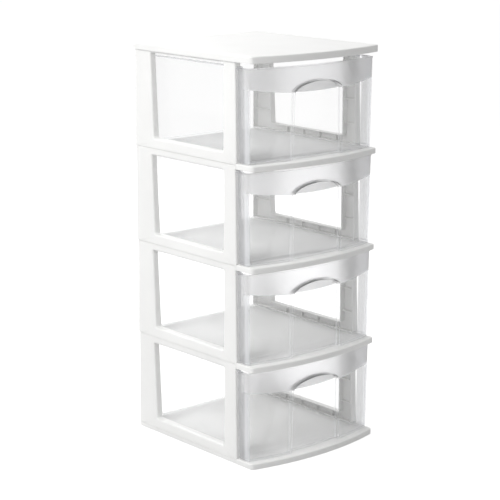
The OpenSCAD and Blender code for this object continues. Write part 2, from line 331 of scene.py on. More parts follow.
@dataclass(frozen=True)
class ClearPlastic:
    """Clear moulded plastic with a frosted band along the top of the front.

    Over it lies painted light: a highlight up each nose corner, shade on the
    wings, in the recess and on walls seen edge-on, and a line of highlight and
    shade round the recess's bends.

    An opacity is the share of the light that the plastic stops. A pair of
    numbers says where a soft edge starts and where it ends: depths, heights
    and margins in metres, and shares of the size that the name gives.
    """

    colour: tuple[float, float, float] = (0.90, 0.91, 0.93)
    frost_colour: tuple[float, float, float] = (0.925, 0.925, 0.93)
    # painted shade: the recess in the band is drawn a darker grey, where the arch shades it
    recess_painted_shade: tuple[float, float, float] = (0.79, 0.79, 0.793)
    # painted shade: the wings beside the posts are drawn grey, darker than the key light leaves
    # them
    wing_painted_shade: tuple[float, float, float] = (0.60, 0.60, 0.615)
    # painted shade: walls seen edge-on are drawn dark grey, for the darkness that refraction gives
    # clear edges
    edge_painted_shade: tuple[float, float, float] = (0.42, 0.42, 0.44)
    # painted shade: the recess's bends are drawn a faint grey line in the band
    painted_bend_line_colour: tuple[float, float, float] = (0.90, 0.90, 0.90)
    clear_opacity: float = 0.009
    rim_opacity: float = 0.32
    foot_share: float = 0.5
    edge_opacity: float = 0.55
    # the wings' opacity shows their painted shade
    wing_shade_opacity: float = 0.40
    # painted highlight: a bright strip up each nose corner
    corner_highlight_opacity: float = 0.55
    # the bends' opacity shows a painted line of highlight and shade in the clear parts
    painted_bend_line_opacity: float = 0.55
    frost_opacity: float = 0.88
    frost_mottle: float = 0.06
    clear_roughness: float = 0.10
    clear_ripple: float = 0.08
    frost_roughness: float = 0.45
    haze_roughness: float = 0.5
    haze_refraction: float = 1.18
    haze_share: float = 0.93
    # less haze on the painted bend lines, so that they show
    haze_lost_on_painted_bend_lines: float = 0.6
    # less haze on the painted corner highlight
    haze_lost_under_corner_highlight: float = 0.7
    glow_share: float = 0.6
    gloss_head_on: float = 0.03
    gloss_aslant: float = 0.18
    gloss_falloff: float = 5.0
    edge_falloff: float = 4.0
    # facings over which walls seen edge-on take the painted shade
    edge_shade_facings: tuple[float, float] = (0.72, 0.95)
    facing_blend: float = 0.5
    refraction: float = 1.49
    wave_scale: float = 26.0
    wave_stretch: tuple[float, float, float] = (1.0, 1.0, 0.3)
    wave_height: float = 0.0006
    wave_bump: float = 0.25
    stipple_scale: float = 900.0
    stipple_height: float = 0.00004
    stipple_bump: float = 0.6
    band_middle: float = 0.126
    band_rise: float = 0.013
    band_blur: float = 0.0012
    front_gap: float = 0.002
    front_blur: float = 0.001
    # the strip of the corner's painted highlight
    corner_highlight_shares: tuple[float, float] = (0.5, 0.75)
    wing_depths: tuple[float, float] = (0.008, 0.018)
    recess_margins: tuple[float, float] = (0.006, 0.007)
    # depths over which the recess's painted shade sets in
    recess_shade_shares: tuple[float, float] = (0.45, 0.8)
    line_width: float = 0.0013
    line_start: float = 0.0003
    line_blur: float = 0.0002
    foot_heights: tuple[float, float] = (0.0026, 0.0050)
    rim_blur: float = 0.0004

    def line(self, behind: Wire, start: float) -> Wire:
        """1 on a thin line round the recess's wall, where the bends get a painted line of highlight
        and shade.

        Args:
            behind: How far a point lies behind the bow.
            start: How far behind the bow the line starts.

        Returns:
            The mask.
        """
        first = start + self.line_start
        last = first + self.line_width
        entered = behind.ramp(first, first + self.line_blur)
        return entered * (1.0 - behind.ramp(last - self.line_blur, last))

    def masks(self, sheet: NodeSheet, drawer: "Drawer") -> FrontMasks:
        """Find the parts of a drawer's front.

        The frosted band lies over a curve that hangs in the middle: its height
        grows with the square of x. The recess is what lies further back than
        the bow, which is a circle about a point behind the drawer, and leans
        back evenly towards the foot; it gets painted shade. The corner is a strip
        up each nose corner, found by how far out a point lies, and gets a painted
        highlight; the wing follows it and gets painted shade. The bends get a
        painted line of highlight and shade.

        Args:
            sheet: The nodes to add to.
            drawer: The drawer.

        Returns:
            The masks.
        """
        tower = drawer.tower
        x, y, z = sheet.split(sheet.place())
        aside = (x * x) ** 0.5
        height = z - (tower.level(drawer.tier) + drawer.slide_gap)
        fallen = 1.0 - height / drawer.height
        front = ((tower.post_y - self.front_gap) - y).ramp(0.0, self.front_blur)
        nose = (tower.width / 2 - drawer.nose_inset - drawer.rim_out) - drawer.nose_draft * fallen
        out = (aside - nose) + tower.nose_radius
        # painted highlight up each nose corner
        corner = out.ramp(*(share * tower.nose_radius for share in self.corner_highlight_shares)) * front
        # painted shade on the wing behind each nose corner
        wing = corner * (y - (tower.corner_y + drawer.setback)).ramp(*self.wing_depths)
        curve = self.band_middle + (x * x) * (self.band_rise / (tower.width / 2) ** 2)
        over_curve = (height - curve).ramp(-self.band_blur, self.band_blur)
        from_centre = (tower.front_y + drawer.setback + tower.bow_radius) + drawer.lean * fallen - y
        behind = tower.bow_radius - (x * x + from_centre * from_centre) ** 0.5
        margins = (drawer.recess_width / 2 + margin for margin in self.recess_margins)
        middle = front * (1.0 - aside.ramp(*margins))
        # painted shade: the recess is drawn darker as it lies further back
        in_recess_shade = behind.ramp(*(share * drawer.recess_depth for share in self.recess_shade_shares))
        last_line = drawer.recess_depth - self.line_start - self.line_blur - self.line_width
        low, high = self.foot_heights
        over_foot = height.ramp(low, low + self.rim_blur)
        foot = over_foot * (1.0 - height.ramp(high - self.rim_blur, high))
        rim_foot = drawer.height - drawer.rim_height
        return FrontMasks(
            corner=corner,
            wing=wing,
            frost=over_curve * front * (1.0 - wing),
            recess=in_recess_shade * middle,
            # painted line of highlight and shade on the recess's two bends
            bends=(self.line(behind, 0.0) + self.line(behind, last_line)) * middle,
            rims=height.ramp(rim_foot - self.rim_blur, rim_foot) + self.foot_share * foot,
        )

    @staticmethod
    def tinted(
        sheet: NodeSheet, kind: str, inputs: dict[str, Any], first: Sequence[float],
        tones: Iterable[tuple[Wire, Sequence[float]]],
    ) -> Wire:
        """A shader whose tone changes from place to place.

        Its own colour stays plain, so there is one shader to a tone, and each
        is mixed over the ones before it by its mask.

        Args:
            sheet: The nodes to add to.
            kind: The shader's type.
            inputs: Its other inputs.
            first: The tone underneath.
            tones: The further tones, each after its mask.

        Returns:
            The shader.
        """
        made = sheet.node(kind, inputs={**inputs, "Color": (*first, 1.0)})
        for mask, tone in tones:
            over = sheet.node(kind, inputs={**inputs, "Color": (*tone, 1.0)})
            made = sheet.blend_shader(mask, made, over)
        return made

    def substance(self, sheet: NodeSheet, on: FrontMasks, facing: Wire, normal: Wire) -> Wire:
        """What stops light: a white skin that glows through, and in the band haze.

        The skin's colour carries painted shade on the wings, on walls seen edge-on,
        in the recess and on its bends.

        Args:
            sheet: The nodes to add to.
            on: The parts of the front.
            facing: How far a surface is turned away from the line of sight.
            normal: The surface's normal.

        Returns:
            The shader.
        """
        painted_shades_in_frost = [(on.recess, self.recess_painted_shade), (on.bends, self.painted_bend_line_colour)]
        # painted shade on the wings and on walls seen edge-on, the real frosted band, then painted
        # shade in the recess and on its bends
        tones = [
            (on.wing, self.wing_painted_shade),
            (facing.ramp(*self.edge_shade_facings), self.edge_painted_shade),
            (on.frost, self.frost_colour),
            *((on.frost * mask, tone) for mask, tone in painted_shades_in_frost),
        ]
        colour: Wire | Sequence[float] = self.colour
        for mask, tone in tones:
            colour = sheet.blend_colour(mask, colour, tone)
        skin = sheet.node("ShaderNodeBsdfPrincipled", inputs={
            "Base Color": colour, "Roughness": self.frost_roughness, "IOR": self.refraction,
            "Normal": normal,
        })
        # the light glowing through and the haze take the same painted shades
        glow = self.tinted(
            sheet, "ShaderNodeBsdfTranslucent", {"Normal": normal}, self.colour, tones,
        )
        haze = self.tinted(sheet, "ShaderNodeBsdfRefraction", {
            "Roughness": self.haze_roughness, "IOR": self.haze_refraction, "Normal": normal,
        }, self.frost_colour, painted_shades_in_frost)
        # the haze thins on the painted bend lines and the painted corner highlight
        haze_kept_on_painted_bend_lines = 1.0 - self.haze_lost_on_painted_bend_lines * on.bends
        haze_kept_under_corner_highlight = 1.0 - self.haze_lost_under_corner_highlight * on.corner
        hazy = self.haze_share * on.frost * haze_kept_on_painted_bend_lines * haze_kept_under_corner_highlight
        return sheet.blend_shader(hazy, sheet.blend_shader(self.glow_share, skin, glow), haze)

    def opacity(self, on: FrontMasks, facing: Wire, stipple: Wire) -> Wire:
        """How much light the plastic stops.

        Rims stop more, and so do walls seen edge-on, bend lines, corners and wings,
        where the skin shows painted shade and a painted highlight.

        Args:
            on: The parts of the front.
            facing: How far a surface is turned away from the line of sight.
            stipple: The band's fine noise.

        Returns:
            The share of the light.
        """
        # walls seen edge-on stop more light and show their painted shade
        plain = (
            self.clear_opacity + self.edge_opacity * facing ** self.edge_falloff
            + self.painted_bend_line_opacity * on.bends + self.corner_highlight_opacity * (on.corner - on.wing)
            + self.wing_shade_opacity * on.wing + self.rim_opacity * on.rims
        ).at_most(1.0)
        frosted = self.frost_opacity + stipple.swing(self.frost_mottle)
        return plain * (1.0 - on.frost) + on.frost * frosted

    def material(self, drawer: "Drawer") -> bpy.types.Material:
        """Make the material of one drawer.

        Plain parts let nearly all light through, and rims, edges, corners and
        wings stop some of it, so that the skin's painted shade on edges and wings
        and its painted highlight up the corners show. The band blurs what lies
        behind it, with a little white of its own, and gloss lies over everything.

        Args:
            drawer: The drawer, for the places of its band and recess.

        Returns:
            The material.
        """
        made = bpy.data.materials.new(f"clear_plastic_{drawer.tier}")
        made.use_nodes = True
        sheet = NodeSheet(made.node_tree)
        on = self.masks(sheet, drawer)
        facing = sheet.node(
            "ShaderNodeLayerWeight", inputs={"Blend": self.facing_blend}, output="Facing",
        )
        wave = sheet.noise(self.wave_scale, stretch=self.wave_stretch)
        stipple = sheet.noise(self.stipple_scale)
        ripple = sheet.bump(wave, self.wave_height, self.wave_bump)
        normal = sheet.bump(stipple * on.frost, self.stipple_height, self.stipple_bump, ripple)
        clear = sheet.blend_shader(
            self.opacity(on, facing, stipple),
            sheet.node("ShaderNodeBsdfTransparent"),
            self.substance(sheet, on, facing, normal),
        )
        rougher = on.frost * (self.frost_roughness - self.clear_roughness)
        shine = sheet.node("ShaderNodeBsdfAnisotropic", inputs={
            "Roughness": self.clear_roughness + wave.swing(self.clear_ripple) + rougher,
            "Normal": normal,
        })
        gloss = self.gloss_head_on + self.gloss_aslant * facing ** self.gloss_falloff
        sheet.show(sheet.blend_shader(gloss, clear, shine))
        return made


# ------------------------------------------------------------------- geometry

@dataclass
class MeshParts:
    """Vertices and faces that grow into one mesh."""

    points: list[np.ndarray] = field(default_factory=list)
    faces: list[tuple[int, ...]] = field(default_factory=list)
    count: int = 0

    def add(self, points: np.ndarray, faces: Iterable[Sequence[int]]) -> None:
        """Add a surface.

        Args:
            points: Its vertices, one row each.
            faces: Its faces, counted from its own first vertex.
        """
        self.faces += [tuple(int(i) + self.count for i in face) for face in faces]
        self.points.append(points)
        self.count += len(points)

    def grid(self, rings: np.ndarray, around: bool = False) -> None:
        """Add a surface over rings of points, each ring closed.

        Args:
            rings: An array of rings by points by 3.
            around: Whether the last ring joins the first.
        """
        rows, columns = rings.shape[:2]
        strips = rows if around else rows - 1
        k, i = np.meshgrid(np.arange(strips), np.arange(columns), indexing="ij")
        up, on = (k + 1) % rows, (i + 1) % columns
        corners = [k * columns + i, k * columns + on, up * columns + on, up * columns + i]
        self.add(rings.reshape(-1, 3), np.stack(corners, axis=-1).reshape(-1, 4))

    def capped_grid(self, rings: np.ndarray) -> None:
        """Add a closed skin: rings of points with a flat face over each end.

        Args:
            rings: An array of rings by points by 3.
        """
        rows, columns = rings.shape[:2]
        first = self.count
        self.grid(rings)
        self.faces.append(tuple(range(first + columns - 1, first - 1, -1)))
        self.faces.append(tuple(range(first + (rows - 1) * columns, first + rows * columns)))

    def bar(self, low: Sequence[float], high: Sequence[float]) -> None:
        """Add a straight rib or web between two corners.

        Args:
            low: Its lowest x, y and z.
            high: Its highest x, y and z.
        """
        (x0, y0, z0), (x1, y1, z1) = low, high
        ring = np.array([[x0, y0], [x1, y0], [x1, y1], [x0, y1]])
        rings = np.stack([np.column_stack([ring, np.full(4, z)]) for z in (z0, z1)])
        self.capped_grid(rings)

    def piece(
        self, name: str, material: bpy.types.Material, sharp: float = SHARP_ANGLE,
    ) -> bpy.types.Object:
        """Make the object.

        Args:
            name: The piece's name.
            material: Its material.
            sharp: The angle in degrees over which an edge stays sharp.

        Returns:
            The object, at the origin.
        """
        mesh = bpy.data.meshes.new(name)
        mesh.from_pydata(np.concatenate(self.points).tolist(), [], self.faces)
        mesh.validate()
        mesh.polygons.foreach_set("use_smooth", np.ones(len(mesh.polygons), dtype=bool))
        mesh.set_sharp_from_angle(angle=math.radians(sharp))
        mesh.materials.append(material)
        made = bpy.data.objects.new(name, mesh)
        bpy.context.scene.collection.objects.link(made)
        return made

    def moulding(
        self, node: str, body: str, material: bpy.types.Material,
        sharp: float = SHARP_ANGLE,
    ) -> bpy.types.Object:
        """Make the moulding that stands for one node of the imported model.

        Args:
            node: The node's name.
            body: The body that it rides on.
            material: Its material.
            sharp: The angle in degrees over which an edge stays sharp.

        Returns:
            The piece.
        """
        made = self.piece(f"{node}_moulding", material, sharp)
        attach(made, body)
        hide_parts(node)
        return made


def arc(
    centre: np.ndarray, radius: np.ndarray, start: np.ndarray, end: np.ndarray, steps: int,
) -> np.ndarray:
    """Points on arcs, one arc to a row.

    A point is the centre plus the radius times (sin a, -cos a), with a from
    start to end, so the angle counts from -Y towards +X.

    Args:
        centre: Centres, rows by 2.
        radius: Radii, one to a row.
        start: First angles in radians.
        end: Last angles in radians.
        steps: How many points each arc has.

    Returns:
        An array of rows by steps by 2.
    """
    turn = np.linspace(0.0, 1.0, steps)
    angle = start[:, None] + (end - start)[:, None] * turn
    spoke = np.stack([np.sin(angle), -np.cos(angle)], axis=-1)
    return centre[:, None, :] + radius[:, None, None] * spoke


def mirrored(half: np.ndarray) -> np.ndarray:
    """Close half outlines with their mirror images.

    Args:
        half: Rows by points by 2, from the front centre to the back centre.

    Returns:
        The whole outlines, rows by points by 2.
    """
    other = half[:, -2:0:-1, :] * np.array([-1.0, 1.0])
    return np.concatenate([half, other], axis=1)


def raised(outline: np.ndarray, height: np.ndarray) -> np.ndarray:
    """Lift outlines to their heights.

    Args:
        outline: Rows by points by 2.
        height: One height to a row, or rows by points.

    Returns:
        Rows by points by 3.
    """
    height = np.broadcast_to(height.reshape(len(height), -1), outline.shape[:2])
    return np.concatenate([outline, height[:, :, None]], axis=-1)


# ---------------------------------------------------------------------- sizes

@dataclass(frozen=True)
class TowerSizes:
    """The tower's driving sizes, as in the part's own source."""

    width: float = 0.324
    depth: float = 0.374
    pitch: float = 0.192
    bow_rise: float = 0.0225
    nose_depth: float = 0.044
    base_height: float = 0.0115
    lip_height: float = 0.011
    top_height: float = 0.0135
    top_rise: float = 0.0085
    plate: float = 0.003
    skirt: float = 0.003
    overhang: float = 0.002
    back_overhang: float = 0.001
    nose_radius: float = 0.009
    back_radius: float = 0.005
    edge_radius: float = 0.0024
    rib: float = 0.0018
    rib_drop: float = 0.005
    rib_x: float = 0.060
    rib_pitch: float = 0.088
    frame_depth: float = 0.015
    skin: float = 0.0025
    front_post: float = 0.038
    back_post: float = 0.058
    low_rail: float = 0.017
    high_rail: float = 0.0145
    window_lean: float = 0.009
    side_draft: float = 0.0015
    front_draft: float = 0.0045
    back_draft: float = 0.0025
    gap: float = 0.0003
    web_pitch: float = 0.048
    web_setback: float = 0.005
    tiers: int = 4

    @property
    def front_y(self) -> float:
        """The middle of the bowed front."""
        return -self.depth / 2

    @property
    def corner_y(self) -> float:
        """The corners of the bow."""
        return self.front_y + self.bow_rise

    @property
    def back_y(self) -> float:
        """The back of the side frames."""
        return self.depth / 2 - self.back_overhang

    @property
    def post_y(self) -> float:
        """The front of the posts at their feet."""
        return self.corner_y + self.nose_depth

    @property
    def inner_x(self) -> float:
        """The inner face of a side frame."""
        return self.width / 2 - self.frame_depth

    @property
    def bow_radius(self) -> float:
        """The radius of the bow."""
        return ((self.width / 2) ** 2 + self.bow_rise ** 2) / (2 * self.bow_rise)

    @property
    def top_z(self) -> float:
        """The top of the tower."""
        return self.base_height + self.tiers * self.pitch + self.top_rise

    def level(self, tier: int) -> float:
        """The height of the plate that a tier's drawer slides on."""
        return self.base_height + (tier - 1) * self.pitch

    def foot(self, tier: int) -> float:
        """The lowest height of a tier's side frames."""
        return self.level(tier) - self.plate

    def head(self, tier: int) -> float:
        """The height of the heads of a tier's side frames."""
        return self.foot(tier + 1) if tier < self.tiers else self.top_z - self.plate


# ----------------------------------------------------------- plates and lips

class PlateKind(Enum):
    """The three kinds of bowed plate."""

    BASE = "base"
    SHELF = "shelf"
    TOP = "top"


@dataclass
class BowedPlate:
    """The base, a shelf or the top: a flat plate with a bowed, rounded lip."""

    tower: TowerSizes
    kind: PlateKind
    node: str
    tier: int
    edge_steps: int = 9
    bow_steps: int = 72
    nose_steps: int = 14
    back_steps: int = 10
    skirt_softness: float = 0.0005
    skirt_foot: float = 0.001
    base_skirt_more: float = 0.0008
    step_run: float = 0.00001
    overlap: float = 0.0002
    rib_sink: float = 0.0005
    rib_bow_share: float = 0.8
    seat_inset: float = 0.0008
    seat_room: float = 0.001

    @property
    def half(self) -> float:
        """Half the plate's width."""
        return self.tower.width / 2 + (self.tower.overhang if self.kind is PlateKind.TOP else 0.0)

    @property
    def back(self) -> float:
        """The plate's back edge."""
        return self.tower.back_y + (self.tower.back_overhang if self.kind is PlateKind.TOP else 0.0)

    @property
    def high(self) -> float:
        """The plate's upper face."""
        return self.tower.top_z if self.kind is PlateKind.TOP else self.tower.level(self.tier)

    @property
    def low(self) -> float:
        """The bottom of the lip."""
        if self.kind is PlateKind.BASE:
            return 0.0
        top = self.kind is PlateKind.TOP
        return self.high - (self.tower.top_height if top else self.tower.lip_height)

    def outline(self, inset: np.ndarray, notch: np.ndarray) -> np.ndarray:
        """Plan outlines of the plate.

        Each runs from the middle of the bow, an arc of the bow's radius, round
        a nose corner, past the notch beside the side frame's skin, and round a
        back corner to the middle of the back. The inset is taken off every
        radius and every straight edge.

        Args:
            inset: How far each outline is drawn in.
            notch: 1 where the plate makes room for the side frame's skin.

        Returns:
            Rows by points by 2.
        """
        t = self.tower
        rows = len(inset)
        one = np.ones(rows)
        right = math.pi / 2 * one
        bow_y = t.front_y + t.bow_radius
        reach = t.bow_radius - t.nose_radius
        turn = math.asin((self.half - t.nose_radius) / reach)
        nose = np.tile([reach * math.sin(turn), bow_y - reach * math.cos(turn)], (rows, 1))
        side = self.half - notch * (t.skin + t.gap)
        step_y = t.post_y - t.gap - inset * notch
        bow = np.tile([0.0, bow_y], (rows, 1))
        front = arc(bow, t.bow_radius - inset, 0 * one, turn * one, self.bow_steps)
        corner = arc(nose, t.nose_radius - inset, turn * one, right, self.nose_steps)[:, 1:]
        notch_points = np.stack([
            np.stack([self.half - inset, step_y], axis=-1),
            np.stack([side - inset, step_y + self.step_run], axis=-1),
        ], axis=1)
        back_y = (self.back - t.back_radius) * one
        back_centre = np.stack([side - t.back_radius, back_y], axis=-1)
        back = arc(back_centre, t.back_radius - inset, right, 2 * right, self.back_steps)
        middle = np.stack([0 * one, self.back - inset], axis=-1)[:, None, :]
        return mirrored(np.concatenate([front, corner, notch_points, back, middle], axis=1))

    def shell(self, parts: MeshParts) -> None:
        """Add the plate with its lip and skirt.

        The rings run from the underside down the inside of the skirt, out
        under it, up the outside, and over a quarter round to the upper face.

        Args:
            parts: The mesh to add to.
        """
        t = self.tower
        under = self.high - t.plate
        soft = self.skirt_softness
        quarter = np.linspace(0.0, math.pi / 2, self.edge_steps)
        skirt = t.skirt + (self.base_skirt_more if self.kind is PlateKind.BASE else 0.0)
        inset = np.concatenate([
            [skirt + self.skirt_foot, skirt, skirt, skirt - soft, soft, 0.0, 0.0, 0.0],
            t.edge_radius * (1 - np.cos(quarter)),
        ])
        height = np.concatenate([
            [under, under, self.low + soft, self.low, self.low, self.low + soft, under, under],
            self.high - t.edge_radius * (1 - np.sin(quarter)),
        ])
        skirt_rings, plate_rings = 7, 1 + self.edge_steps
        notch = np.concatenate([
            np.full(skirt_rings, float(self.kind is PlateKind.SHELF)),
            np.full(plate_rings, float(self.kind is not PlateKind.TOP)),
        ])
        outline = self.outline(inset, notch)
        heights = np.broadcast_to(height[:, None], outline.shape[:2]).copy()
        if self.kind is PlateKind.SHELF:
            behind = outline[0, :, 1] > t.post_y + t.front_draft - t.gap - self.seat_room
            heights[:skirt_rings + 1, behind] = under
        parts.capped_grid(raised(outline, heights))

    def ribs(self, parts: MeshParts) -> None:
        """Add the ribs and inner skirts under the plate.

        Args:
            parts: The mesh to add to.
        """
        t = self.tower
        under = self.high - t.plate
        low, high = under - t.rib_drop, under + self.overlap
        rib_end, half = t.inner_x - t.gap, t.rib / 2
        back_inside = self.back - t.skirt
        if self.kind is PlateKind.SHELF:
            back_inside = t.back_y - t.back_draft - t.skirt
        bow_drop = t.bow_radius - math.sqrt(t.bow_radius ** 2 - t.rib_x ** 2)
        front_inside = t.front_y + bow_drop + t.skirt * self.rib_bow_share
        for x in (-t.rib_x, t.rib_x):
            rib_back = back_inside + self.rib_sink
            parts.bar((x - half, front_inside, low), (x + half, rib_back, high))
        for row in (-1, 0, 1):
            y = row * t.rib_pitch
            parts.bar((-rib_end, y - half, low), (rib_end, y + half, high))
        if self.kind is PlateKind.SHELF:
            self.seats(parts, rib_end, back_inside, high)

    def seats(self, parts: MeshParts, seat_x: float, back_inside: float, high: float) -> None:
        """Add a shelf's inner skirts, which stand between the side frames.

        Args:
            parts: The mesh to add to.
            seat_x: How far out they reach.
            back_inside: The front of the back one.
            high: Their upper end.
        """
        t = self.tower
        seat_y, back = t.post_y + t.front_draft - t.gap, t.back_y - self.overlap
        for x in (-seat_x, seat_x - t.skirt):
            parts.bar((x, t.corner_y, self.low), (x + t.skirt, back, high))
        parts.bar((-seat_x, back_inside, self.low), (seat_x, back, high))
        width = t.frame_depth + t.skirt - self.seat_room
        for x in (-t.width / 2 + self.seat_inset, seat_x - t.skirt):
            low_front = (x, seat_y - t.skirt, self.low + self.overlap)
            parts.bar(low_front, (x + width, seat_y, high))

    def build(self, material: bpy.types.Material) -> bpy.types.Object:
        """Build and dress the plate.

        Args:
            material: Its material.

        Returns:
            The piece.
        """
        parts = MeshParts()
        self.shell(parts)
        self.ribs(parts)
        return parts.moulding(self.node, "tower", material)


# -------------------------------------------------------------- side frames

@dataclass(frozen=True)
class Loop:
    """A four-sided outline in the side view, with a round at each corner.

    Each side is a line: its outward normal and its distance from the origin.
    """

    normals: np.ndarray
    offsets: np.ndarray

    @staticmethod
    def through(corners: np.ndarray) -> "Loop":
        """The loop whose sides join four corners, counter-clockwise in (y, z).

        Args:
            corners: Four rows of y and z.

        Returns:
            The loop.
        """
        along = np.roll(corners, -1, axis=0) - corners
        along = along / np.linalg.norm(along, axis=1, keepdims=True)
        normals = np.stack([along[:, 1], -along[:, 0]], axis=-1)
        return Loop(normals, np.sum(normals * corners, axis=1))

    def points(
        self, inset: np.ndarray, radius: float, arc_steps: int = 7, side_steps: int = 14,
    ) -> np.ndarray:
        """Points round the loop.

        A corner's arc is centred where its two sides, drawn in by the inset
        plus the radius, cross. Between arcs the points are spaced evenly.

        Args:
            inset: How far each of the four sides is drawn in.
            radius: The corners' radius.
            arc_steps: Points on each corner.
            side_steps: Points between two corners.

        Returns:
            Points by 2, counter-clockwise.
        """
        offsets = self.offsets - inset - radius
        following = np.roll(self.normals, -1, axis=0)
        pairs = np.stack([self.normals, following], axis=1)
        rhs = np.stack([offsets, np.roll(offsets, -1)], axis=1)
        centres = np.linalg.solve(pairs, rhs[..., None])[..., 0]
        start = np.arctan2(self.normals[:, 1], self.normals[:, 0])
        sweep = (np.arctan2(following[:, 1], following[:, 0]) - start) % (2 * math.pi)
        angle = start[:, None] + sweep[:, None] * np.linspace(0, 1, arc_steps)
        corners = centres[:, None, :] + radius * np.stack([np.cos(angle), np.sin(angle)], axis=-1)
        ends = np.roll(corners[:, 0], -1, axis=0)
        step = (np.arange(1, side_steps + 1) / (side_steps + 1))[None, :, None]
        sides = corners[:, -1][:, None, :] * (1 - step) + ends[:, None, :] * step
        return np.concatenate([corners, sides], axis=1).reshape(-1, 2)


class Side(Enum):
    """Which side of the tower a frame stands on, as the sign of its x."""

    LEFT = -1
    RIGHT = 1


@dataclass
class SideFrame:
    """A moulded channel round an open window, open to the inside."""

    tower: TowerSizes
    side: Side
    tier: int
    window_radius: float = 0.004
    window_round: float = 0.0040
    edge_round: float = 0.0030
    seam_round: float = 0.0006
    corner_radius: float = 0.0008
    wall_softness: float = 0.0004
    web_sink: float = 0.0005
    web_overlap: float = 0.0003
    steps: int = 7

    @property
    def node(self) -> str:
        """The name of the solid that the piece stands for."""
        return f"side_frame_{self.side.name.lower()}_{self.tier}"

    def outer_loop(self, lift: float) -> Loop:
        """The frame's outline in the side view.

        Args:
            lift: How far its foot is raised over the skin's foot.

        Returns:
            The loop.
        """
        t = self.tower
        foot, head = t.foot(self.tier), t.head(self.tier)
        return Loop.through(np.array([
            [t.post_y, foot + lift], [t.back_y, foot + lift],
            [t.back_y - t.back_draft, head], [t.post_y + t.front_draft, head],
        ]))

    def window_loop(self) -> Loop:
        """The window's outline in the side view, with its leaning back edge."""
        t = self.tower
        low, high = t.level(self.tier) + t.low_rail, t.head(self.tier) - t.high_rail
        front, back = t.post_y + t.front_post, t.back_y - t.back_post
        return Loop.through(np.array([
            [front, low], [back, low], [back + t.window_lean, high], [front, high],
        ]))

    def outer_x(self, height: np.ndarray) -> np.ndarray:
        """The drafted outer face: it leans in evenly from foot to head.

        Args:
            height: Heights.

        Returns:
            The outer face's x at each height.
        """
        t = self.tower
        foot, head = t.foot(self.tier), t.head(self.tier)
        return t.width / 2 - t.side_draft * (height - foot) / (head - foot)

    def channel(self, parts: MeshParts) -> None:
        """Add the channel: its section, carried round the window.

        The section runs from the window's return over a quarter round to the
        outer face, over another to the outer return, and back inside along
        the walls of the channel. A point of the section is a loop of the
        window drawn out, or of the outline drawn in.

        Args:
            parts: The mesh to add to.
        """
        t = self.tower
        window, skin_loop = self.window_loop(), self.outer_loop(0.0)
        body_loop = self.outer_loop(t.plate)
        quarter = np.linspace(0.0, math.pi / 2, self.steps)
        edge = np.array([self.seam_round, self.edge_round, self.seam_round, self.edge_round])
        rows: list[np.ndarray] = []

        def ring(loop: Loop, inset: Any, radius: float, x: float, from_face: bool = False) -> None:
            """Add one ring at a fixed x, or at a distance in from the face."""
            yz = loop.points(np.broadcast_to(inset, 4), radius)
            at = self.outer_x(yz[:, 1]) - x if from_face else np.full(len(yz), x)
            rows.append(np.column_stack([at, yz]))

        soft, radius, small = self.wall_softness, self.window_radius, self.corner_radius
        mouth, outer = t.inner_x + soft, t.width / 2 - t.skin
        pocket = outer - t.side_draft
        ring(window, -soft, radius + soft, t.inner_x)
        ring(window, 0.0, radius, mouth)
        for a in quarter:
            out = self.window_round * (1 - math.cos(a))
            ring(window, -out, radius + out, self.window_round * (1 - math.sin(a)), True)
        for a in quarter[::-1]:
            in_from_face = self.edge_round * (1 - math.sin(a))
            ring(skin_loop, edge * (1 - math.cos(a)), small, in_from_face, True)
        for loop, inset, round_radius, x in (
            (skin_loop, 0.0, small, outer),
            (body_loop, 0.0, small, outer),
            (body_loop, 0.0, small, mouth),
            (body_loop, soft, small, t.inner_x),
            (body_loop, t.skin - soft, small, t.inner_x),
            (body_loop, t.skin, small, mouth),
            (body_loop, t.skin, small, pocket),
            (window, -t.skin, radius + t.skin, pocket),
            (window, -t.skin, radius + t.skin, mouth),
            (window, soft - t.skin, radius + t.skin - soft, t.inner_x),
        ):
            ring(loop, inset, round_radius, x)
        rings = np.stack(rows)
        if self.side is Side.LEFT:
            rings = rings[:, ::-1] * np.array([-1.0, 1.0, 1.0])
        parts.grid(rings[::-1], around=True)

    def webs(self, parts: MeshParts) -> None:
        """Add the webs across the posts and rails.

        Args:
            parts: The mesh to add to.
        """
        t = self.tower
        level, head = t.level(self.tier), t.head(self.tier)
        low, high = level + t.low_rail, head - t.high_rail
        wall, half = t.skin - self.web_sink, t.rib / 2
        pocket = t.width / 2 - t.side_draft - t.skin + self.web_overlap
        x0, x1 = sorted(self.side.value * x for x in (t.inner_x + t.web_setback, pocket))
        for z in np.arange(low + t.web_pitch / 2, high - t.rib, t.web_pitch):
            part = (z - level) / (head - level)
            front = t.post_y + t.front_draft * part + wall
            back = t.back_y - t.back_draft * part - wall
            window_back = t.back_y - t.back_post + t.window_lean * (z - low) / (high - low)
            window_front = t.post_y + t.front_post
            for y0, y1 in ((front, window_front - wall), (window_back + wall, back)):
                parts.bar((x0, y0, z - half), (x1, y1, z + half))
        first = t.post_y + t.front_post + t.web_pitch / 2
        for y in np.arange(first, t.back_y - t.back_post - t.rib, t.web_pitch):
            for z0, z1 in ((level + wall, low - wall), (high + wall, head - wall)):
                parts.bar((x0, y - half, z0), (x1, y + half, z1))

    def build(self, material: bpy.types.Material) -> bpy.types.Object:
        """Build and dress the frame.

        Args:
            material: Its material.

        Returns:
            The piece.
        """
        parts = MeshParts()
        self.channel(parts)
        self.webs(parts)
        return parts.moulding(self.node, "tower", material)


# ------------------------------------------------------------------- drawers

